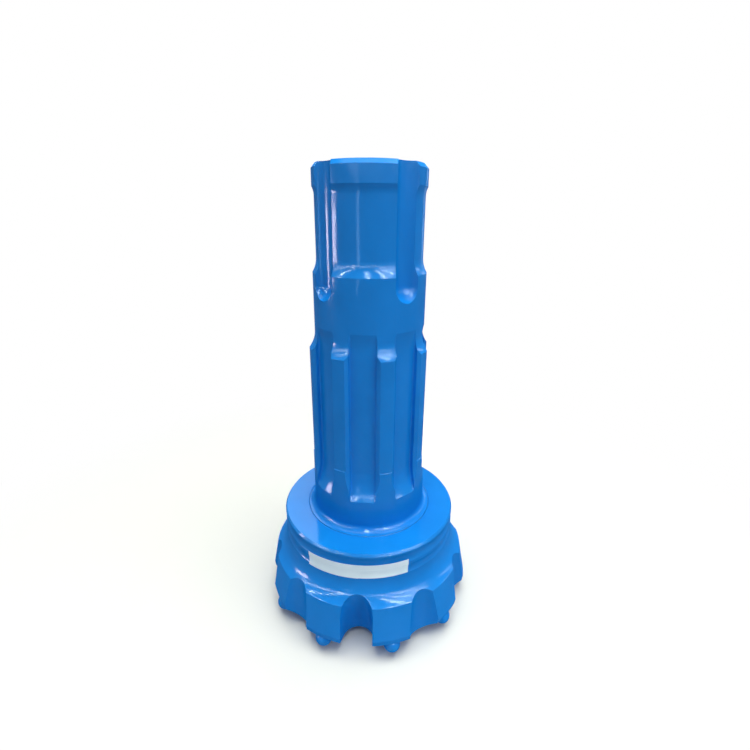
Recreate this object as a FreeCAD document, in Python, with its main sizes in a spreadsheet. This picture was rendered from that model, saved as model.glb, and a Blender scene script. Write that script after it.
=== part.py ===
import FreeCAD, Part
import math
import os
import Sketcher

# A button bit for a down-the-hole rock hammer: one turned and milled steel body with a head, a
# shoulder and a splined shank, hard-metal buttons pressed into the head, and a bare paper sticker.
# Millimetres. The origin is on the floor under the axis, the bit stands on its front buttons and
# the shank points up. Azimuths start at the front (-Y) and run towards +X.

doc = FreeCAD.newDocument("RockDrillBit")
sheet = doc.addObject("Spreadsheet::Sheet", "Sizes")

drivingSizes = [
    # buttons
    ("gaugeDiameter", 216.0),
    ("gaugeButtonDiameter", 16.0),
    ("gaugeButtonDepth", 14.0),
    ("gaugeButtonStandOut", 1.5),
    ("frontButtonDiameter", 16.0),
    ("frontButtonDepth", 13.0),
    ("frontButtonProud", 8.5),
    ("outerRowInset", 22.3),
    ("middleRowInset", 27.0),
    ("innerRowGap", 10.0),
    # head, from the face up
    ("bevelAngle", 35.0),
    ("bevelHeight", 11.0),
    ("bandStep", 1.0),
    ("bandHeight", 5.8),
    ("gaugeReach", 1.0),
    ("headWallHeight", 33.4),
    ("headWallStep", 6.4),
    ("rimChamfer", 0.6),
    ("coveHeight", 21.7),
    # ringed flange and shoulder
    ("coveStep", 11.9),
    ("lowRingHeight", 2.0),
    ("lowGrooveHeight", 9.0),
    ("midRingHeight", 3.5),
    ("topGrooveHeight", 10.0),
    ("topRingHeight", 1.9),
    ("ringGrooveDepth", 1.4),
    ("shoulderChamferHeight", 2.1),
    ("shoulderChamferWidth", 1.4),
    ("reliefWidth", 0.8),
    ("reliefDepth", 0.5),
    # shank, heights above the shoulder
    ("neckFillet", 6.8),
    ("collarStep", 0.5),
    ("collarTop", 63.0),
    ("collarStepHeight", 0.5),
    ("splineStep", 5.5),
    ("splineTop", 171.7),
    ("splineCoveHeight", 14.5),
    ("guideDiameter", 102.0),
    ("recessFoot", 239.6),
    ("recessCoveHeight", 12.5),
    ("recessStep", 3.6),
    ("recessTop", 302.5),
    ("undercutHeight", 6.8),
    ("tailRingStep", 1.8),
    ("tailChamferFoot", 322.8),
    ("tailChamferHeight", 3.7),
    ("tailChamferWidth", 3.0),
    # splines
    ("splineCount", 8),
    ("splineRootStep", 1.5),
    ("splineLandWidth", 12.7),
    ("splineChamferDepth", 2.8),
    ("grooveWidth", 24.6),
    ("grooveCornerRadius", 1.5),
    ("grooveTop", 193.4),
    ("grooveFoot", 33.0),
    ("cutterRadius", 50.0),
    ("cutterRunOutTurn", 60.0),
    ("cutterFlankReach", 4.0),
    # half-round slots at the tail
    ("slotCount", 4),
    ("slotRadius", 13.5),
    ("slotAxisStep", 4.2),
    ("slotFoot", 217.3),
    # gullies of the head
    ("deepGullyRadius", 15.1),
    ("deepGullyRimStep", 1.5),
    ("deepGullyTilt", 15.2),
    ("gullyRadius", 19.1),
    ("gullyAxisStep", 7.8),
    ("gullyPitch", 35.4),
    # air passages
    ("tubeBoreDiameter", 44.0),
    ("tubeBoreDepth", 62.0),
    ("tubeBoreChamfer", 2.0),
    ("airBoreDiameter", 36.0),
    ("airBoreFoot", 72.0),
    ("drillPointAngle", 59.0),
    ("flushHoleDiameter", 22.0),
    ("flushHoleInset", 38.3),
    # sticker
    ("stickerThickness", 0.3),
    ("stickerLeftDrop", 13.2),
    ("stickerRightDrop", 11.3),
    ("stickerHeight", 15.1),
    ("stickerSag", 0.7),
    ("stickerLeft", 33.7),
    ("stickerRight", 30.9),
]
for row, (alias, size) in enumerate(drivingSizes, 1):
    sheet.set("A%d" % row, alias)
    sheet.set("B%d" % row, str(size))
    sheet.setAlias("B%d" % row, alias)
doc.recompute()


def cell(alias):
    return "Sizes." + alias


def half(alias):
    return "Sizes.%s / 2" % alias


def plus(*terms):
    return " + ".join("(%s)" % term for term in terms)


def minus(first, *others):
    return "(%s)" % first + "".join(" - (%s)" % other for other in others)


def value(expression):
    return float(sheet.evalExpression(expression))


# Levels of the head and flange, from the floor up, and of the shank above the shoulder.
face = cell("frontButtonProud")
bevelTop = plus(face, cell("bevelHeight"))
bandTop = plus(bevelTop, cell("bandHeight"))
rim = plus(bandTop, cell("headWallHeight"))
rimTop = plus(rim, cell("rimChamfer"))
coveTop = plus(rimTop, cell("coveHeight"))
lowGroove = plus(coveTop, cell("lowRingHeight"))
midRing = plus(lowGroove, cell("lowGrooveHeight"))
topGroove = plus(midRing, cell("midRingHeight"))
topRing = plus(topGroove, cell("topGrooveHeight"))
shoulderEdge = plus(topRing, cell("topRingHeight"))
shoulder = plus(shoulderEdge, cell("shoulderChamferHeight"))
tail = plus(shoulder, cell("tailChamferFoot"), cell("tailChamferHeight"))


def above(alias):
    return plus(shoulder, cell(alias))


def originItem(body, role):
    for item in body.Origin.OriginFeatures:
        if item.Role == role:
            return item


def newSketch(body, name, plane):
    sketch = body.newObject("Sketcher::SketchObject", name)
    sketch.AttachmentSupport = [(originItem(body, plane), "")]
    sketch.MapMode = "FlatFace"
    return sketch


def tie(sketch, kind, references, expression, name):
    # one dimension of a sketch, bound to the sheet
    index = sketch.addConstraint(Sketcher.Constraint(kind, *references, value(expression)))
    sketch.renameConstraint(index, name)
    sketch.setExpression("Constraints." + name, expression)


def arcBetween(start, end, radius, side):
    # the short arc from start to end; its centre is to the left (1) or right (-1) of the way
    along = end.sub(start)
    middle = start.add(end).multiply(0.5)
    reach = math.sqrt(max(radius ** 2 - (along.Length / 2) ** 2, 0.0))
    square = FreeCAD.Vector(-along.y, along.x, 0).normalize()
    centre = middle.add(square.multiply(side * reach))
    circle = Part.Circle(centre, FreeCAD.Vector(0, 0, 1), radius)
    angles = [math.atan2(p.y - centre.y, p.x - centre.x) for p in (start, end)]
    if side < 0:
        angles.reverse()
    if angles[1] < angles[0]:
        angles[1] += 2 * math.pi
    return Part.ArcOfCircle(circle, angles[0], angles[1])


def drawOutline(sketch, corners):
    # A closed outline. Each corner is (across, up) or (across, up, radius, side), where the last
    # two bend the edge that leads on to the next corner.
    points = [FreeCAD.Vector(value(c[0]), value(c[1]), 0) for c in corners]
    ends = []
    for index, corner in enumerate(corners):
        here, there = points[index], points[(index + 1) % len(points)]
        if len(corner) == 2:
            edge = sketch.addGeometry(Part.LineSegment(here, there), False)
            ends.append((edge, 1, 2))
        else:
            radius, side = corner[2], corner[3]
            edge = sketch.addGeometry(arcBetween(here, there, value(radius), side), False)
            ends.append((edge, 1, 2) if side > 0 else (edge, 2, 1))
    for index, (edge, first, last) in enumerate(ends):
        following = ends[(index + 1) % len(ends)]
        sketch.addConstraint(Sketcher.Constraint("Coincident", edge, last, following[0], following[1]))
    for index, corner in enumerate(corners):
        edge, first, last = ends[index]
        if abs(points[index].x) < 1e-9:
            sketch.addConstraint(Sketcher.Constraint("PointOnObject", edge, first, -2))
        else:
            tie(sketch, "DistanceX", (-1, 1, edge, first), corner[0], "across%d" % index)
        if abs(points[index].y) < 1e-9:
            sketch.addConstraint(Sketcher.Constraint("PointOnObject", edge, first, -1))
        else:
            tie(sketch, "DistanceY", (-1, 1, edge, first), corner[1], "up%d" % index)
        if len(corner) == 4:
            tie(sketch, "Radius", (edge,), corner[2], "bend%d" % index)


def removed(body, feature, name):
    # a cut that takes nothing away is a fault
    doc.recompute()
    before = feature.BaseFeature.Shape.Volume
    if before - feature.Shape.Volume < 1.0:
        raise RuntimeError(name + " cuts nothing")


def spin(body, kind, name, sketch, axis="V_Axis", part=None, reverse=False):
    # a full turn about one of the sketch's axes, or the part of a turn that the sheet gives
    feature = body.newObject("PartDesign::" + kind, name)
    feature.Profile = sketch
    feature.ReferenceAxis = (sketch, [axis])
    feature.Angle = 360
    if part:
        feature.setExpression("Angle", cell(part))
    feature.Reversed = reverse
    sketch.Visibility = False
    if kind == "Groove":
        removed(body, feature, name)
    return feature


def pocket(body, name, sketch, length, midplane=False, reverse=False):
    feature = body.newObject("PartDesign::Pocket", name)
    feature.Profile = sketch
    feature.Type = "Length"
    feature.setExpression("Length", length)
    feature.Midplane = midplane
    feature.Reversed = reverse
    sketch.Visibility = False
    removed(body, feature, name)
    return feature


def polarPattern(body, name, originals, count):
    pattern = body.newObject("PartDesign::PolarPattern", name)
    pattern.Originals = originals
    pattern.Axis = (originItem(body, "Z_Axis"), [""])
    pattern.Angle = 360
    pattern.setExpression("Occurrences", count)
    body.Tip = pattern
    doc.recompute()
    return pattern


# Radii of the head, from the gauge circle inwards, and of the shank, from the guide. The inner row
# of buttons is set by the steel that its two buttons need between them and the axis.
headRadius = minus(half("gaugeDiameter"), cell("gaugeReach"))
bandFootRadius = minus(headRadius, cell("bandStep"))
rimRadius = minus(headRadius, cell("headWallStep"))
flangeRadius = minus(rimRadius, cell("coveStep"))
faceRadius = minus(bandFootRadius, "Sizes.bevelHeight / tan(Sizes.bevelAngle)")
outerRowRadius = minus(faceRadius, cell("outerRowInset"))
middleRowRadius = minus(outerRowRadius, cell("middleRowInset"))
innerRowRadius = plus(half("frontButtonDiameter"), cell("innerRowGap"))
flushHoleExit = minus(faceRadius, cell("flushHoleInset"))
guideRadius = half("guideDiameter")
splineRadius = plus(guideRadius, cell("splineStep"))
collarRadius = plus(splineRadius, cell("collarStep"))
rootRadius = minus(guideRadius, cell("splineRootStep"))
recessRadius = minus(guideRadius, cell("recessStep"))
tailRingRadius = plus(recessRadius, cell("tailRingStep"))

# Where the axis of a gauge button meets the bevel.
standOutAcross = "Sizes.gaugeButtonStandOut * sin(Sizes.bevelAngle)"
gaugeSeatRadius = minus(half("gaugeDiameter"), half("gaugeButtonDiameter"), standOutAcross)
gaugeSeatDrop = "(%s) * tan(Sizes.bevelAngle)" % minus(bandFootRadius, gaugeSeatRadius)
gaugeSeat = minus(bevelTop, gaugeSeatDrop)


def coveRadius(step, height):
    # an arc that leaves one radius upright and reaches another, a step away, over a height
    return "((%s) ^ 2 + (%s) ^ 2) / (2 * (%s))" % (step, height, step)


def ringGroove(height):
    return "((Sizes.%s / 2) ^ 2 + Sizes.ringGrooveDepth ^ 2) / (2 * Sizes.ringGrooveDepth)" % height


def turnedBlank(body):
    # the whole turned outline, from the face round the outside to the tail
    neckFoot = plus(collarRadius, cell("neckFillet"))
    rimInner = minus(rimRadius, cell("rimChamfer"))
    headCove = coveRadius(minus(rimInner, flangeRadius), cell("coveHeight"))
    splineCove = coveRadius(cell("splineStep"), cell("splineCoveHeight"))
    recessCove = coveRadius(cell("recessStep"), cell("recessCoveHeight"))
    undercut = coveRadius(cell("tailRingStep"), cell("undercutHeight"))
    outline = [
        ("0", face),
        (faceRadius, face),
        (bandFootRadius, bevelTop),
        (headRadius, bandTop),
        (rimRadius, rim),
        (rimInner, rimTop, headCove, -1),
        (flangeRadius, coveTop),
        (flangeRadius, lowGroove, ringGroove("lowGrooveHeight"), -1),
        (flangeRadius, midRing),
        (flangeRadius, topGroove, ringGroove("topGrooveHeight"), -1),
        (flangeRadius, topRing),
        (flangeRadius, shoulderEdge),
        (minus(flangeRadius, cell("shoulderChamferWidth")), shoulder),
        (plus(neckFoot, cell("reliefWidth")), shoulder),
        (plus(neckFoot, half("reliefWidth")), minus(shoulder, cell("reliefDepth"))),
        (neckFoot, shoulder, cell("neckFillet"), -1),
        (collarRadius, above("neckFillet")),
        (collarRadius, above("collarTop")),
        (splineRadius, plus(above("collarTop"), cell("collarStepHeight"))),
        (splineRadius, above("splineTop"), splineCove, -1),
        (guideRadius, plus(above("splineTop"), cell("splineCoveHeight"))),
        (guideRadius, above("recessFoot"), recessCove, -1),
        (recessRadius, plus(above("recessFoot"), cell("recessCoveHeight"))),
        (recessRadius, above("recessTop"), undercut, -1),
        (tailRingRadius, plus(above("recessTop"), cell("undercutHeight"))),
        (tailRingRadius, above("tailChamferFoot")),
        (minus(tailRingRadius, cell("tailChamferWidth")), tail),
        ("0", tail),
    ]
    sketch = newSketch(body, "TurnedOutline", "XZ_Plane")
    drawOutline(sketch, outline)
    return spin(body, "Revolution", "TurnedBlank", sketch)


def airPassages(body):
    # the tube seat and air bore down the middle
    mouth = half("tubeBoreDiameter")
    air = half("airBoreDiameter")
    seat = minus(tail, cell("tubeBoreDepth"))
    mouthTop = plus(mouth, cell("tubeBoreChamfer"))
    sketch = newSketch(body, "BoreOutline", "XZ_Plane")
    drawOutline(sketch, [
        ("0", minus(cell("airBoreFoot"), "Sizes.airBoreDiameter / 2 / tan(Sizes.drillPointAngle)")),
        (air, cell("airBoreFoot")),
        (air, seat),
        (mouth, seat),
        (mouth, minus(tail, cell("tubeBoreChamfer"))),
        (mouthTop, tail),
        ("0", tail),
    ])
    spin(body, "Groove", "Bore", sketch)


def splineSection(body, name, level):
    # The section of the form cutter in its own frame: across is tangential, and up is the
    # distance from the cutter's own axle, which stands clear of the shank.
    axle = plus(rootRadius, cell("cutterRadius"))
    wall = half("grooveWidth")
    cornerAcross = minus(wall, cell("grooveCornerRadius"))
    cornerReach = plus(rootRadius, cell("grooveCornerRadius"))
    cornerUp = "sqrt((%s) ^ 2 - (%s) ^ 2)" % (cornerReach, cornerAcross)
    share = "(%s) / (%s)" % (rootRadius, cornerReach)
    flankTop = minus(splineRadius, cell("splineChamferDepth"))
    flankFoot = "sqrt((%s) ^ 2 - (%s) ^ 2)" % (flankTop, wall)
    landAngle = "asin(Sizes.splineLandWidth / 2 / (%s))" % splineRadius
    landEdge = "(180 deg / Sizes.splineCount - %s)" % landAngle
    edgeAcross = "(%s) * sin(%s)" % (splineRadius, landEdge)
    edgeUp = "(%s) * cos(%s)" % (splineRadius, landEdge)
    reach = "(%s) + Sizes.cutterFlankReach * ((%s) - (%s))"
    flankEndAcross = reach % (wall, edgeAcross, wall)
    flankEndUp = reach % (flankFoot, edgeUp, flankFoot)
    floorAcross = "(%s) * (%s)" % (share, cornerAcross)
    floorUp = "(%s) * (%s)" % (share, cornerUp)
    corner = cell("grooveCornerRadius")

    def negative(expression):
        return "-(%s)" % expression

    sketch = newSketch(body, name, "XY_Plane")
    sketch.AttachmentOffset = FreeCAD.Placement(
        FreeCAD.Vector(0, 1, 1), FreeCAD.Rotation(FreeCAD.Vector(0, 0, 1), 180))
    sketch.setExpression("AttachmentOffset.Base.y", axle)
    sketch.setExpression("AttachmentOffset.Base.z", level)
    drawOutline(sketch, [
        (floorAcross, minus(axle, floorUp), corner, -1),
        (wall, minus(axle, cornerUp)),
        (wall, minus(axle, flankFoot)),
        (flankEndAcross, minus(axle, flankEndUp)),
        (negative(flankEndAcross), minus(axle, flankEndUp)),
        (negative(wall), minus(axle, flankFoot)),
        (negative(wall), minus(axle, cornerUp), corner, -1),
        (negative(floorAcross), minus(axle, floorUp), rootRadius, 1),
    ])
    return sketch


def splines(body):
    # Grooves milled by a disc cutter. It leaves a long run-out at the foot, on the collar, and a
    # short one at the top, on the plain guide.
    runOut = "sqrt(Sizes.cutterRadius ^ 2 - (Sizes.cutterRadius - (%s)) ^ 2)"
    upper = minus(above("grooveTop"), runOut % minus(guideRadius, rootRadius))
    lower = plus(above("grooveFoot"), runOut % minus(collarRadius, rootRadius))
    upperSection = splineSection(body, "UpperCutterSection", upper)
    straight = pocket(body, "SplineGroove", upperSection, minus(upper, lower))
    upperEnd = spin(body, "Groove", "SplineGrooveTop", upperSection, "H_Axis", "cutterRunOutTurn")
    lowerSection = splineSection(body, "LowerCutterSection", lower)
    lowerEnd = spin(body, "Groove", "SplineGrooveFoot", lowerSection, "H_Axis", "cutterRunOutTurn", True)
    polarPattern(body, "SplineGrooves", [straight, upperEnd, lowerEnd], cell("splineCount"))


def tailSlots(body):
    # half-round slots with ball ends, milled down from the tail through the ring and the guide
    ballCentre = plus(above("slotFoot"), cell("slotRadius"))
    clear = plus(tail, cell("slotRadius"))
    sketch = newSketch(body, "SlotOutline", "XZ_Plane")
    sketch.AttachmentOffset = FreeCAD.Placement(
        FreeCAD.Vector(1, 0, 1), FreeCAD.Rotation(FreeCAD.Vector(0, 1, 0), 45))
    sketch.setExpression("AttachmentOffset.Rotation.Angle", "180 / Sizes.slotCount")
    axis = plus(guideRadius, cell("slotAxisStep"))
    sketch.setExpression("AttachmentOffset.Base.x", "(%s) * cos(180 / Sizes.slotCount)" % axis)
    sketch.setExpression("AttachmentOffset.Base.z", "-(%s) * sin(180 / Sizes.slotCount)" % axis)
    drawOutline(sketch, [
        ("0", minus(ballCentre, cell("slotRadius")), cell("slotRadius"), 1),
        (cell("slotRadius"), ballCentre),
        (cell("slotRadius"), clear),
        ("0", clear),
    ])
    slot = spin(body, "Groove", "TailSlot", sketch)
    polarPattern(body, "TailSlots", [slot], cell("slotCount"))


def gullies(body):
    # Eight straight gullies, four a side, spaced about the middle of each side. Each is a round
    # cut along the whole head.
    axis = plus(headRadius, cell("gullyAxisStep"))
    sketch = newSketch(body, "GullyCircles", "XY_Plane")
    for side in (1, -1):
        for step in (-1.5, -0.5, 0.5, 1.5):
            azimuth = "(90 + %s * Sizes.gullyPitch)" % step
            across = "%d * (%s) * sin(%s)" % (side, axis, azimuth)
            back = "-(%s) * cos(%s)" % (axis, azimuth)
            centre = FreeCAD.Vector(value(across), value(back), 0)
            circle = Part.Circle(centre, FreeCAD.Vector(0, 0, 1), value(cell("gullyRadius")))
            number = sketch.addGeometry(circle, False)
            tie(sketch, "DistanceX", (-1, 1, number, 3), across, "gullyAcross%d" % number)
            tie(sketch, "DistanceY", (-1, 1, number, 3), back, "gullyBack%d" % number)
            tie(sketch, "Radius", (number,), cell("gullyRadius"), "gullyBend%d" % number)
    pocket(body, "Gullies", sketch, coveTop, reverse=True)


def deepGullies(body):
    # two deeper gullies, front and back, that slope in towards the face
    sketch = newSketch(body, "DeepGullyOutline", "XY_Plane")
    sketch.AttachmentOffset = FreeCAD.Placement(
        FreeCAD.Vector(0, -1, 1), FreeCAD.Rotation(FreeCAD.Vector(1, 0, 0), 15))
    sketch.setExpression("AttachmentOffset.Base.y", minus(cell("deepGullyRimStep"), headRadius))
    sketch.setExpression("AttachmentOffset.Base.z", rimTop)
    sketch.setExpression("AttachmentOffset.Rotation.Angle", cell("deepGullyTilt"))
    radius = cell("deepGullyRadius")
    outer = "-2 * Sizes.deepGullyRadius"
    drawOutline(sketch, [
        (radius, "0", radius, 1),
        ("0", radius, radius, 1),
        ("-Sizes.deepGullyRadius", "0"),
        ("-Sizes.deepGullyRadius", outer),
        (radius, outer),
    ])
    deep = pocket(body, "DeepGully", sketch, plus(shoulder, shoulder), midplane=True)
    polarPattern(body, "DeepGullies", [deep], "2")


def flushingHoles(body):
    # two slanting holes from the foot of the air bore to the face, one towards each deep gully
    tilt = "atan((%s) / (%s))" % (flushHoleExit, minus(cell("airBoreFoot"), face))
    hole = body.newObject("PartDesign::SubtractiveCylinder", "FlushingHole")
    hole.AttachmentSupport = [(originItem(body, "XY_Plane"), "")]
    hole.MapMode = "FlatFace"
    hole.AttachmentOffset = FreeCAD.Placement(
        FreeCAD.Vector(0, 0, 1), FreeCAD.Rotation(FreeCAD.Vector(1, 0, 0), 150))
    hole.setExpression("AttachmentOffset.Base.z", cell("airBoreFoot"))
    hole.setExpression("AttachmentOffset.Rotation.Angle", "180 deg - %s" % tilt)
    hole.setExpression("Radius", half("flushHoleDiameter"))
    hole.setExpression("Height", "Sizes.airBoreFoot / cos(%s)" % tilt)
    removed(body, hole, "FlushingHole")
    polarPattern(body, "FlushingHoles", [hole], "2")


def drawButton(body, row):
    # half of a domed button, standing on its foot, turned about its own axis
    radius, depth, proud = row["radius"], row["depth"], row["proud"]
    sketch = newSketch(body, body.Name + "Outline", "XZ_Plane")
    drawOutline(sketch, [
        ("0", "0"),
        (radius, "0"),
        (radius, minus(plus(depth, proud), radius), radius, 1),
        ("0", plus(depth, proud)),
    ])
    spin(body, "Revolution", body.Name + "Turned", sketch)


def seatAt(item, row, azimuth):
    # puts a button, or the tool that bores its seat, on its foot with its axis pointing outwards
    lean, depth = row["lean"], row["depth"]
    reach = "(%s - (%s) * sin(%s))" % (row["ring"], depth, lean)
    item.Placement = FreeCAD.Placement(FreeCAD.Vector(1, 1, 1), FreeCAD.Rotation(FreeCAD.Vector(1, 1, 0), 150))
    item.setExpression("Placement.Base.x", "%s * sin(%s)" % (reach, azimuth))
    item.setExpression("Placement.Base.y", "-1 * %s * cos(%s)" % (reach, azimuth))
    item.setExpression("Placement.Base.z", "%s + (%s) * cos(%s)" % (row["seat"], depth, lean))
    item.setExpression("Placement.Rotation.Axis.x", "cos(%s)" % azimuth)
    item.setExpression("Placement.Rotation.Axis.y", "sin(%s)" % azimuth)
    item.setExpression("Placement.Rotation.Angle", "180 deg - 1 deg * (%s)" % lean)


def seatTool(name, row, azimuth):
    tool = doc.addObject("Part::Cylinder", name)
    tool.setExpression("Radius", row["radius"])
    tool.setExpression("Height", plus(row["depth"], row["radius"]))
    seatAt(tool, row, azimuth)
    return tool


def buttons(row, azimuths, firstNumber):
    made, tools = [], []
    for number, azimuth in enumerate(azimuths, firstNumber):
        name = "%s_button_%d" % (row["name"], number)
        body = doc.addObject("PartDesign::Body", "%sButton%d" % (row["name"].capitalize(), number))
        body.Label = name
        drawButton(body, row)
        seatAt(body, row, azimuth)
        made.append(body)
        tools.append(seatTool(body.Name + "Seat", row, azimuth))
    return made, tools


def sticker():
    # A bare paper sticker bent round the flange. It sits a little askew and its ends droop.
    inner = flangeRadius
    outer = plus(inner, cell("stickerThickness"))
    body = doc.addObject("PartDesign::Body", "Sticker")
    body.Label = "label"
    left = "-1 * (%s) * sin(Sizes.stickerLeft)" % outer
    right = "(%s) * sin(Sizes.stickerRight)" % outer
    upperLeft = minus(shoulder, cell("stickerLeftDrop"))
    upperRight = minus(shoulder, cell("stickerRightDrop"))
    lowerLeft = minus(upperLeft, cell("stickerHeight"))
    lowerRight = minus(upperRight, cell("stickerHeight"))
    span = "((%s) - (%s))" % (right, left)
    bend = "((%s / 2) ^ 2 + Sizes.stickerSag ^ 2) / (2 * Sizes.stickerSag)" % span
    sketch = newSketch(body, "StickerOutline", "XZ_Plane")
    drawOutline(sketch, [
        (right, upperRight, bend, 1),
        (left, upperLeft),
        (left, lowerLeft, bend, -1),
        (right, lowerRight),
    ])
    pad = body.newObject("PartDesign::Pad", "StickerBlock")
    pad.Profile = sketch
    pad.setExpression("Length", half("gaugeDiameter"))
    sketch.Visibility = False
    wrap = body.newObject("PartDesign::SubtractiveCylinder", "StickerInside")
    wrap.AttachmentSupport = [(originItem(body, "XY_Plane"), "")]
    wrap.MapMode = "FlatFace"
    wrap.setExpression("Radius", inner)
    wrap.setExpression("Height", tail)
    removed(body, wrap, "StickerInside")
    rest = newSketch(body, "StickerOutside", "XY_Plane")
    for name, radius in (("near", outer), ("far", cell("gaugeDiameter"))):
        circle = Part.Circle(FreeCAD.Vector(), FreeCAD.Vector(0, 0, 1), value(radius))
        number = rest.addGeometry(circle, False)
        rest.addConstraint(Sketcher.Constraint("Coincident", number, 3, -1, 1))
        tie(rest, "Radius", (number,), radius, name)
    pocket(body, "StickerFace", rest, tail, reverse=True)
    return body


gaugeRow = {
    "name": "gauge",
    "radius": half("gaugeButtonDiameter"),
    "depth": cell("gaugeButtonDepth"),
    "proud": plus(half("gaugeButtonDiameter"), cell("gaugeButtonStandOut")),
    "lean": cell("bevelAngle"),
    "ring": gaugeSeatRadius,
    "seat": gaugeSeat,
}


def frontRow(ringRadius):
    return {
        "name": "front",
        "radius": half("frontButtonDiameter"),
        "depth": cell("frontButtonDepth"),
        "proud": cell("frontButtonProud"),
        "lean": "0",
        "ring": ringRadius,
        "seat": face,
    }


blank = doc.addObject("PartDesign::Body", "TurnedAndMilled")
turnedBlank(blank)
airPassages(blank)
splines(blank)
tailSlots(blank)
gullies(blank)
deepGullies(blank)
flushingHoles(blank)

# One gauge button in the middle of each land, five a side.
gaugeAzimuths = ["(90 + %d * Sizes.gullyPitch)" % step for step in (-2, -1, 0, 1, 2)]
gaugeAzimuths += ["(270 + %d * Sizes.gullyPitch)" % step for step in (-2, -1, 0, 1, 2)]
rows = [
    (gaugeRow, gaugeAzimuths),
    (frontRow(outerRowRadius), ["30", "90", "150", "210", "270", "330"]),
    (frontRow(middleRowRadius), ["45", "135", "225", "315"]),
    (frontRow(innerRowRadius), ["90", "270"]),
]
pieces, seatTools = [], []
made = {"gauge": 0, "front": 0}
for row, azimuths in rows:
    rowPieces, rowTools = buttons(row, azimuths, made[row["name"]] + 1)
    made[row["name"]] += len(azimuths)
    pieces += rowPieces
    seatTools += rowTools
seats = doc.addObject("Part::Compound", "ButtonSeats")
seats.Links = seatTools
bitBody = doc.addObject("Part::Cut", "BitBody")
bitBody.Label = "bit_body"
bitBody.Base = blank
bitBody.Tool = seats
pieces.insert(0, bitBody)
pieces.append(sticker())
doc.recompute()
for piece in pieces:
    shape = piece.Shape
    if shape.isNull() or not shape.isValid() or len(shape.Solids) != 1:
        raise RuntimeError("%s is not one sound solid" % piece.Label)
for item in doc.Objects:
    if "Invalid" in item.State or "Error" in item.State:
        raise RuntimeError("%s is in error" % item.Name)
os.makedirs("parts", exist_ok=True)
for piece in pieces:
    piece.Shape.exportStep("parts/%s.step" % piece.Label)
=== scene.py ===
import bmesh
import bpy
import math
from mathutils import Euler, Matrix, Vector


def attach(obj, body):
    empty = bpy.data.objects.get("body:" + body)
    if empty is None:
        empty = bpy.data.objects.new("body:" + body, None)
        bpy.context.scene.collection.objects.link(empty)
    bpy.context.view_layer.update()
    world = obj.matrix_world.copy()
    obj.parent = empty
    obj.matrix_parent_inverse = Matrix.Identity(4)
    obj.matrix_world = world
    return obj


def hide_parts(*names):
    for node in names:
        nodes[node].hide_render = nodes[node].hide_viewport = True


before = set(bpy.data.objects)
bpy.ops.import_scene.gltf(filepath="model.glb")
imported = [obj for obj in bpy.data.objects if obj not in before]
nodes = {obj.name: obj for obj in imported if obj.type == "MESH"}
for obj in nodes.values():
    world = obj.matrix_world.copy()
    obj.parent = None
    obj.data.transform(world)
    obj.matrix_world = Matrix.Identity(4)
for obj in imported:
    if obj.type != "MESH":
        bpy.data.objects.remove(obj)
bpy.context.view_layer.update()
mm = 0.001


# shader maths

class Socket:
    # one output socket, so that sums and products of sockets read as plain expressions
    def __init__(self, recipe, out):
        self.recipe = recipe
        self.out = out

    def maths(self, operation, other=None, swapped=False, **settings):
        values = {0: self}
        if other is not None:
            values = {0: other, 1: self} if swapped else {0: self, 1: other}
        return self.recipe.node("ShaderNodeMath", {"operation": operation, **settings}, values)

    def __add__(self, other):
        return self.maths("ADD", other)

    def __radd__(self, other):
        return self.maths("ADD", other, True)

    def __sub__(self, other):
        return self.maths("SUBTRACT", other)

    def __rsub__(self, other):
        return self.maths("SUBTRACT", other, True)

    def __mul__(self, other):
        return self.maths("MULTIPLY", other)

    def __rmul__(self, other):
        return self.maths("MULTIPLY", other, True)


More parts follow.
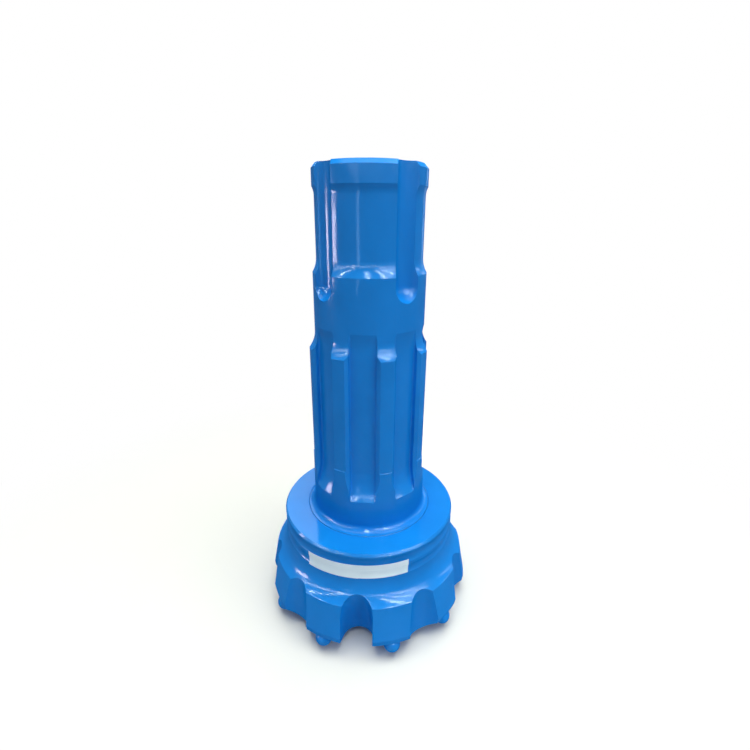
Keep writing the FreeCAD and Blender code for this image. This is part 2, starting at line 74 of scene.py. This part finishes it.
class Recipe:
    # the nodes of one material, or of the world, with one shader at their end
    def __init__(self, owner):
        self.owner = owner
        owner.use_nodes = True
        self.tree = owner.node_tree
        self.tree.nodes.clear()

    def node(self, kind, settings=None, values=None, out=0):
        made = self.tree.nodes.new(kind)
        for key, setting in (settings or {}).items():
            if key == "stops":
                ramp = made.color_ramp
                while len(ramp.elements) < len(setting):
                    ramp.elements.new(1.0)
                for element, (place, colour) in zip(ramp.elements, setting):
                    element.position = place
                    element.color = colour
            else:
                setattr(made, key, setting)
        for key, value in (values or {}).items():
            if isinstance(value, Socket):
                self.tree.links.new(value.out, made.inputs[key])
            else:
                made.inputs[key].default_value = value
        return Socket(self, made.outputs[out])

    def place(self, size=(1, 1, 1)):
        # object coordinates in metres, with a pattern made finer by a size along each axis
        coords = self.node("ShaderNodeTexCoord", out="Object")
        return self.node("ShaderNodeMapping", values={"Vector": coords, "Scale": size})

    def parts(self, vector):
        split = self.tree.nodes.new("ShaderNodeSeparateXYZ")
        self.tree.links.new(vector.out, split.inputs[0])
        return [Socket(self, split.outputs[axis]) for axis in range(3)]

    def noise(self, vector, scale, detail, rough=0.5):
        return self.node("ShaderNodeTexNoise", values={
            "Vector": vector, "Scale": scale, "Detail": detail, "Roughness": rough})

    def ramp(self, factor, stops):
        return self.node("ShaderNodeValToRGB", {"stops": stops}, {"Fac": factor})

    def smooth(self, factor, low, high, first=0.0, last=1.0):
        return self.node("ShaderNodeMapRange", {"interpolation_type": "SMOOTHSTEP"}, {
            "Value": factor, "From Min": low, "From Max": high, "To Min": first, "To Max": last})

    def closeTo(self, value, middle, reach):
        # 1 where a value meets the middle, down to 0 at the reach
        return self.smooth((value - middle).maths("ABSOLUTE"), 0.0, reach, 1.0, 0.0)

    def mix(self, factor, first, second):
        return self.node(
            "ShaderNodeMix", {"data_type": "RGBA"}, {0: factor, 6: first, 7: second}, out=2)

    def blend(self, factor, first, second):
        return self.node("ShaderNodeMixShader", values={0: factor, 1: first, 2: second})

    def finish(self, shader):
        world = isinstance(self.owner, bpy.types.World)
        end = self.tree.nodes.new(
            "ShaderNodeOutputWorld" if world else "ShaderNodeOutputMaterial")
        self.tree.links.new(shader.out, end.inputs["Surface"])
        return self.owner


def fromAxis(x, y):
    return (x * x + y * y).maths("SQRT")


def dress(piece, material):
    piece.data.materials.clear()
    piece.data.materials.append(material)


# Paint and paper, in metres. Noise is given as its scale a metre, its detail and its roughness.

enamel = {
    "colour": (0.006, 0.211, 0.680, 1),
    "pale": (0.008, 0.224, 0.710, 1),
    "deep": (0.005, 0.197, 0.642, 1),
    "clouds": (22, 3),
    "cloudStops": (0.32, 0.52, 0.72),   # deep, plain and pale
    "peel": (520, 2, 0.6),
    "peelDepth": 0.000026,
    "sheen": (60, 3),
    "sheenRange": (0.3, 0.7),
    "roughness": (0.075, 0.165),        # of the glossiest and the dullest patches
    "glossIor": 2.2,
    "plainShare": 0.94,
    "edgeRadius": 0.0004,
    "edgeSamples": 8,
    "ripplesPerMetre": 900,             # the lathe's feed marks, still there under the paint
    "rippleDepth": 0.000003,
    "drift": (9, 2),
    "driftTurns": 3.0,
    "line": (0.003, 0.13, 0.42, 1),     # painted shade: the relief line in the shoulder, darkened as if shade lay in it
    "lineRadius": 0.06375,
    "lineReach": 0.0006,
    "lineHeights": (0.1085, 0.1100),
    "lineFade": 0.0005,
}


# a mask of the painted shade along the relief line round the neck's foot
def reliefLineShade(recipe, x, y, up):
    low, high = enamel["lineHeights"]
    fade = enamel["lineFade"]
    return (recipe.closeTo(fromAxis(x, y), enamel["lineRadius"], enamel["lineReach"])
            * recipe.smooth(up, low - fade, low)
            * recipe.smooth(up, high, high + fade, 1.0, 0.0))


def feedMarks(recipe, spot, up):
    drift = recipe.noise(spot, *enamel["drift"])
    turns = up * enamel["ripplesPerMetre"] + drift * enamel["driftTurns"]
    return (turns * math.tau).maths("SINE") * (enamel["rippleDepth"] / enamel["peelDepth"])


def blueEnamel(name, turned):
    recipe = Recipe(bpy.data.materials.new(name))
    spot = recipe.place()
    tones = [enamel[tone] for tone in ("deep", "colour", "pale")]
    colour = recipe.ramp(
        recipe.noise(spot, *enamel["clouds"]), list(zip(enamel["cloudStops"], tones)))
    height = recipe.noise(spot, *enamel["peel"])
    if turned:
        x, y, up = recipe.parts(spot)
        # painted shade: the relief line is darkened in the colour itself
        colour = recipe.mix(reliefLineShade(recipe, x, y, up), colour, enamel["line"])
        height = height + feedMarks(recipe, spot, up)
    rounded = recipe.node(
        "ShaderNodeBevel", {"samples": enamel["edgeSamples"]}, {"Radius": enamel["edgeRadius"]})
    bump = recipe.node("ShaderNodeBump", values={
        "Height": height, "Strength": 1.0, "Distance": enamel["peelDepth"], "Normal": rounded})
    rough = recipe.smooth(
        recipe.noise(spot, *enamel["sheen"]), *enamel["sheenRange"], *enamel["roughness"])
    # The gloss is thin: most light comes from the colour under it, also where it is seen aslant.
    paint = {"Base Color": colour, "Roughness": rough, "Normal": bump}
    glossy = recipe.node("ShaderNodeBsdfPrincipled", values={**paint, "IOR": enamel["glossIor"]})
    plain = recipe.node("ShaderNodeBsdfPrincipled", values={**paint, "Specular IOR Level": 0.0})
    return recipe.finish(recipe.blend(enamel["plainShare"], glossy, plain))


paper = {
    "colour": (0.74, 0.88, 0.98, 1),
    "shade": (0.68, 0.82, 0.93, 1),
    "clouds": (40, 2),
    "cloudRange": (0.35, 0.7),
    "fibres": (500, 4, 0.65),
    "fibreSize": (1, 1, 3),             # they lie along the strip
    "fibreDepth": 0.00003,
    "fibreStrength": 0.6,
    "roughness": 0.5,
    "shine": 0.3,
    # painted shade: the colour of the press lines over the ring edges, broken up by noise
    "pressed": (0.46, 0.60, 0.74, 1),
    "pressHeights": (0.0831, 0.0920),   # ring edges that press through the paper, where painted shade darkens it
    "pressReach": 0.0006,
    "pressShare": 0.35,
    "pressRelief": 1.5,
    "waver": (35, 2),
    "waverReach": 0.0008,
    "pressGaps": (80, 2),
    "pressGapRange": (0.42, 0.62),
}


def barePaper():
    recipe = Recipe(bpy.data.materials.new("barePaper"))
    spot = recipe.place()
    fibres = recipe.noise(recipe.place(paper["fibreSize"]), *paper["fibres"])
    clouds = recipe.smooth(recipe.noise(spot, *paper["clouds"]), *paper["cloudRange"])
    colour = recipe.mix(clouds, paper["shade"], paper["colour"])
    waver = (recipe.noise(spot, *paper["waver"]) - 0.5) * paper["waverReach"]
    up = recipe.parts(spot)[2] + waver
    low, high = (
        recipe.closeTo(up, height, paper["pressReach"]) for height in paper["pressHeights"])
    pressGaps = recipe.smooth(recipe.noise(spot, *paper["pressGaps"]), *paper["pressGapRange"])
    pressLines = (low + high) * pressGaps
    # painted shade along the press lines; the same lines also give a real relief in the bump
    colour = recipe.mix(pressLines * paper["pressShare"], colour, paper["pressed"])
    bump = recipe.node("ShaderNodeBump", values={
        "Height": fibres + pressLines * paper["pressRelief"], "Strength": paper["fibreStrength"],
        "Distance": paper["fibreDepth"]})
    return recipe.finish(recipe.node("ShaderNodeBsdfPrincipled", values={
        "Base Color": colour, "Roughness": paper["roughness"], "Normal": bump,
        "Specular IOR Level": paper["shine"]}))


bodyPaint = blueEnamel("bodyEnamel", True)
buttonPaint = blueEnamel("buttonEnamel", False)
paperFace = barePaper()
finishes = {"bit_body": bodyPaint, "label": paperFace}
for name, piece in nodes.items():
    dress(piece, finishes.get(name, buttonPaint))
print("painted", len(nodes), "pieces")


# paper label, in millimetres and degrees

labelStrip = {
    "radius": 88.73,         # of its inner face, just clear of the rings that carry it
    "thickness": 0.22,
    "left": -33.7,           # ends, round from the front
    "right": 30.9,
    "footLeft": 81.2,        # its lower corners
    "footRight": 83.1,
    "height": 15.1,
    "rise": 0.7,             # of its middle above the line between its ends
    "columns": 72,
    "rows": 16,
    "columnReach": 0.2,      # what is this near to a column belongs to it
    "hollows": ((83.7, 91.3), (84.7, 90.4), (85.8, 89.2)),   # the paper sinks a step in each
    "hollowStep": 0.11,
    "slack": (82.9, 92.1),   # smoothed between these heights
    "slackFactor": 0.5,
    "slackRepeat": 2,
    "weld": 0.01,
    "smoothAngle": 30,
}


def choose(piece, wanted):
    # selects the vertices that a rule on their place picks
    mesh = bmesh.from_edit_mesh(piece.data)
    for part in (*mesh.verts, *mesh.edges, *mesh.faces):
        part.select = False
    for vertex in mesh.verts:
        vertex.select = wanted(vertex.co)
    mesh.select_flush_mode()
    bmesh.update_edit_mesh(piece.data)


def chooseHeights(piece, low, high):
    choose(piece, lambda spot: low * mm < spot.z < high * mm)


def paperLabel():
    strip = labelStrip
    radius, height = strip["radius"] * mm, strip["height"] * mm
    left, right = math.radians(strip["left"]), math.radians(strip["right"])
    bpy.ops.object.select_all(action="DESELECT")
    bpy.ops.mesh.primitive_grid_add(
        x_subdivisions=1, y_subdivisions=strip["rows"], size=height,
        location=(0, -radius, height / 2), rotation=(math.pi / 2, 0, 0))
    label = bpy.context.active_object
    label.name = "paperLabel"
    bpy.ops.object.transform_apply()
    bpy.ops.object.mode_set(mode="EDIT")
    bpy.ops.mesh.select_mode(type="VERT")
    # one upright edge of the sheet is kept, turned to the left end and swept round the flange
    choose(label, lambda spot: spot.x > 0)
    bpy.ops.mesh.delete(type="VERT")
    bpy.ops.mesh.select_all(action="SELECT")
    bpy.ops.transform.translate(value=(height / 2, 0, 0))
    bpy.ops.transform.rotate(value=-left, orient_axis="Z", center_override=(0, 0, 0))
    bpy.ops.mesh.spin(
        steps=strip["columns"], angle=left - right, center=(0, 0, 0), axis=(0, 0, 1))
    # each column goes up to its place, because the strip sits askew and its ends droop
    for column in range(strip["columns"] + 1):
        share = column / strip["columns"]
        across = radius * math.sin(left + (right - left) * share)
        choose(label, lambda spot: abs(spot.x - across) < strip["columnReach"] * mm)
        foot = strip["footLeft"] + (strip["footRight"] - strip["footLeft"]) * share
        rise = 4 * strip["rise"] * share * (1 - share)   # a low arch
        bpy.ops.transform.translate(value=(0, 0, (foot + rise) * mm))
    # between the rings nothing holds the paper, and it sinks a little
    closer = 1 - strip["hollowStep"] / strip["radius"]
    for low, high in strip["hollows"]:
        chooseHeights(label, low, high)
        bpy.ops.transform.resize(value=(closer, closer, 1), center_override=(0, 0, 0))
    chooseHeights(label, *strip["slack"])
    bpy.ops.mesh.vertices_smooth(factor=strip["slackFactor"], repeat=strip["slackRepeat"])
    bpy.ops.mesh.select_all(action="SELECT")
    bpy.ops.mesh.remove_doubles(threshold=strip["weld"] * mm)
    bpy.ops.mesh.normals_make_consistent(inside=False)
    bpy.ops.object.mode_set(mode="OBJECT")
    sheet = label.modifiers.new("paperThickness", "SOLIDIFY")
    sheet.thickness = strip["thickness"] * mm
    sheet.offset = 1.0
    bpy.ops.object.modifier_apply(modifier=sheet.name)
    bpy.ops.object.shade_smooth_by_angle(angle=math.radians(strip["smoothAngle"]))
    dress(label, paperFace)
    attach(label, "root")
    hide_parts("label")


paperLabel()
print("label wrapped round the flange")


# floor and room, in metres

stage = {
    "floorHalf": 6.0,
    "floorColour": (0.74, 0.73, 0.71, 1),
    "floorRoughness": 0.9,
    "floorShine": 0.1,
    "floorBounce": (0.50, 0.50, 0.50, 1),   # what it throws back at the object, near and far
    "farBounce": (0.32, 0.32, 0.32, 1),
    "fadeFrom": 0.25,                       # from here out the floor fades into plain white
    "fadeTo": 0.60,
    "white": (1, 1, 1, 1),
    "roomColour": (0.80, 0.85, 1.0, 1),
    "roomLight": 0.33,
}


def seenDirectly(recipe):
    # 1 for what the camera, a reflection or clear glass looks at, 0 for light that spreads
    camera, glossy, clear = (
        recipe.node("ShaderNodeLightPath", out=ray)
        for ray in ("Is Camera Ray", "Is Glossy Ray", "Is Transmission Ray"))
    return (camera + glossy).maths("ADD", clear, use_clamp=True)


def paleFloor():
    bpy.ops.object.select_all(action="DESELECT")
    bpy.ops.mesh.primitive_plane_add(size=2 * stage["floorHalf"], location=(0, 0, 0))
    floor = bpy.context.active_object
    floor.name = "paleFloor"
    recipe = Recipe(bpy.data.materials.new("paleFloor"))
    x, y = recipe.parts(recipe.place())[:2]
    far = recipe.smooth(fromAxis(x, y), stage["fadeFrom"], stage["fadeTo"])
    seen = seenDirectly(recipe)
    near = recipe.node("ShaderNodeBsdfPrincipled", values={
        "Base Color": recipe.mix(seen, stage["floorBounce"], stage["floorColour"]),
        "Roughness": stage["floorRoughness"], "Specular IOR Level": stage["floorShine"]})
    white = recipe.node("ShaderNodeEmission", values={"Color": stage["white"], "Strength": 1.0})
    quiet = recipe.node("ShaderNodeBsdfDiffuse", values={"Color": stage["farBounce"]})
    beyond = recipe.blend(seen, quiet, white)
    dress(floor, recipe.finish(recipe.blend(far, near, beyond)))


def softRoom():
    recipe = Recipe(bpy.data.worlds.new("softRoom"))
    room, white = (
        recipe.node("ShaderNodeBackground", values={"Color": colour, "Strength": strength})
        for colour, strength in ((stage["roomColour"], stage["roomLight"]), (stage["white"], 1.0)))
    bpy.context.scene.world = recipe.finish(recipe.blend(seenDirectly(recipe), room, white))


paleFloor()
softRoom()
print("floor laid in a soft room")


# lamps

lampAim = Vector((0, 0, 0.2))

# these two spread light over the paint
lamps = {
    "ceiling": {"from": (0.10, -0.10, 1.60), "size": (1.4, 1.3), "power": 35.5,
                "colour": (1.0, 1.03, 0.92)},
    "daylight": {"from": (1.8, -1.1, 1.3), "power": 0.62, "spread": 50},
}

# Windows, doors and light bands of the room, which are only seen as reflections in the paint:
# degrees round from the front and up, distance, width and height, glow, colour.
glints = {
    "backWindow": ((-148, 40), 2.6, (1.65, 1.3), 11, (0.95, 1.0, 0.9)),
    "sideWindow": ((-74, 1), 2.6, (0.8, 0.5), 60, (1.0, 0.88, 1.0)),
    "doorway": ((-17, -4), 2.6, (0.24, 1.2), 12, (0.5, 0.8, 1.0)),
    "frontPanel": ((45, 35), 3.0, (1.1, 1.1), 15, (0.8, 1.0, 1.0)),
    "leftBand": ((-48, 15), 3.0, (2.7, 0.16), 36, (0.85, 0.95, 1.0)),
    "middleBand": ((-4, 15), 3.0, (2.6, 0.16), 32, (0.8, 1.0, 1.0)),
    "rightBand": ((44, 15), 3.0, (2.9, 0.16), 32, (0.8, 1.0, 1.0)),
    "backBand": ((168, 15), 3.0, (2.9, 0.2), 24, (0.85, 0.95, 1.0)),
    "farBand": ((112, 15), 3.0, (2.2, 0.2), 24, (0.85, 0.95, 1.0)),
    "backDoor": ((152, 0), 2.8, (0.3, 1.4), 12, (0.6, 0.85, 1.0)),
    "highPanel": ((180, 74), 2.6, (3.0, 1.2), 3.5, (0.8, 1.0, 1.0)),
}

# Long ceiling tubes, also only seen as reflections.
tubes = {
    "height": 3.0,
    "colour": (0.8, 1.0, 1.0),
    "rows": (   # place to the side, near end, far end, glow, width
        (-7.0, -1.4, -9.5, 190, 0.16),
        (-3.4, -1.4, -9.5, 170, 0.16),
        (0.1, -1.4, -5.0, 62, 0.45),
        (1.9, -1.4, -5.5, 80, 0.30),
        (3.4, -1.4, -9.5, 190, 0.16),
        (5.6, -1.4, -9.5, 260, 0.16),
    ),
}


def hang(name, light, place, aim=None, spreads=True):
    holder = bpy.data.objects.new(name, light)
    bpy.context.scene.collection.objects.link(holder)
    holder.location = place
    if aim:
        holder.rotation_euler = (aim - holder.location).to_track_quat("-Z", "Y").to_euler()
    holder.visible_camera = False
    holder.visible_diffuse = spreads


def sun(name, power, spread):
    light = bpy.data.lights.new(name, "SUN")
    light.energy = power
    light.angle = math.radians(spread)
    return light


def panel(name, size, power, colour):
    light = bpy.data.lights.new(name, "AREA")
    light.shape = "RECTANGLE"
    light.size, light.size_y = size
    light.energy = power
    light.color = colour
    return light


def glowingPanel(name, size, glow, colour):
    wide, high = size
    return panel(name, size, glow * math.pi * wide * high, colour)


def hangLamps():
    ceiling, daylight = lamps["ceiling"], lamps["daylight"]
    soft = panel("ceiling", ceiling["size"], ceiling["power"], ceiling["colour"])
    hang("ceiling", soft, ceiling["from"], lampAim)
    hang("daylight", sun("daylight", daylight["power"], daylight["spread"]),
         daylight["from"], lampAim)
    for name, (bearing, away, size, glow, colour) in glints.items():
        turn, up = (math.radians(angle) for angle in bearing)
        flat = math.cos(up)
        way = Vector((math.sin(turn) * flat, -math.cos(turn) * flat, math.sin(up)))
        light = glowingPanel(name, size, glow, colour)
        hang(name, light, lampAim + way * away, lampAim, spreads=False)
    for number, (across, near, far, glow, width) in enumerate(tubes["rows"], 1):
        name = "tube%d" % number
        light = glowingPanel(name, (width, near - far), glow, tubes["colour"])
        hang(name, light, (across, (near + far) / 2, tubes["height"]), spreads=False)


hangLamps()
print("hung", len(lamps) + len(glints) + len(tubes["rows"]), "lamps")


# camera, in millimetres and degrees

view = {
    "azimuth": 6.3,          # round from the front, towards +X
    "distance": 399.4,       # from the axis, along the floor
    "height": 395.3,
    "pitch": 20.02,
    "yaw": -0.80,
    "roll": 0.45,
    "focalPixels": 434.5,
    "imagePixels": 750,
    "sensor": 36,
    "clipStart": 10,
}


def setCamera():
    data = bpy.data.cameras.new("photoCamera")
    data.sensor_width = view["sensor"]
    data.lens = view["focalPixels"] / view["imagePixels"] * view["sensor"]
    data.clip_start = view["clipStart"] * mm
    camera = bpy.data.objects.new("photoCamera", data)
    bpy.context.scene.collection.objects.link(camera)
    azimuth, away = math.radians(view["azimuth"]), view["distance"] * mm
    camera.location = (
        math.sin(azimuth) * away, -math.cos(azimuth) * away, view["height"] * mm)
    tilt, heading = math.radians(90 - view["pitch"]), azimuth + math.radians(view["yaw"])
    upright = Euler((tilt, 0, heading)).to_matrix()
    roll = Matrix.Rotation(math.radians(view["roll"]), 3, "Z")
    camera.rotation_euler = (upright @ roll).to_euler()
    bpy.context.scene.camera = camera


setCamera()
bpy.context.scene.view_settings.view_transform = "Standard"
print("camera set")
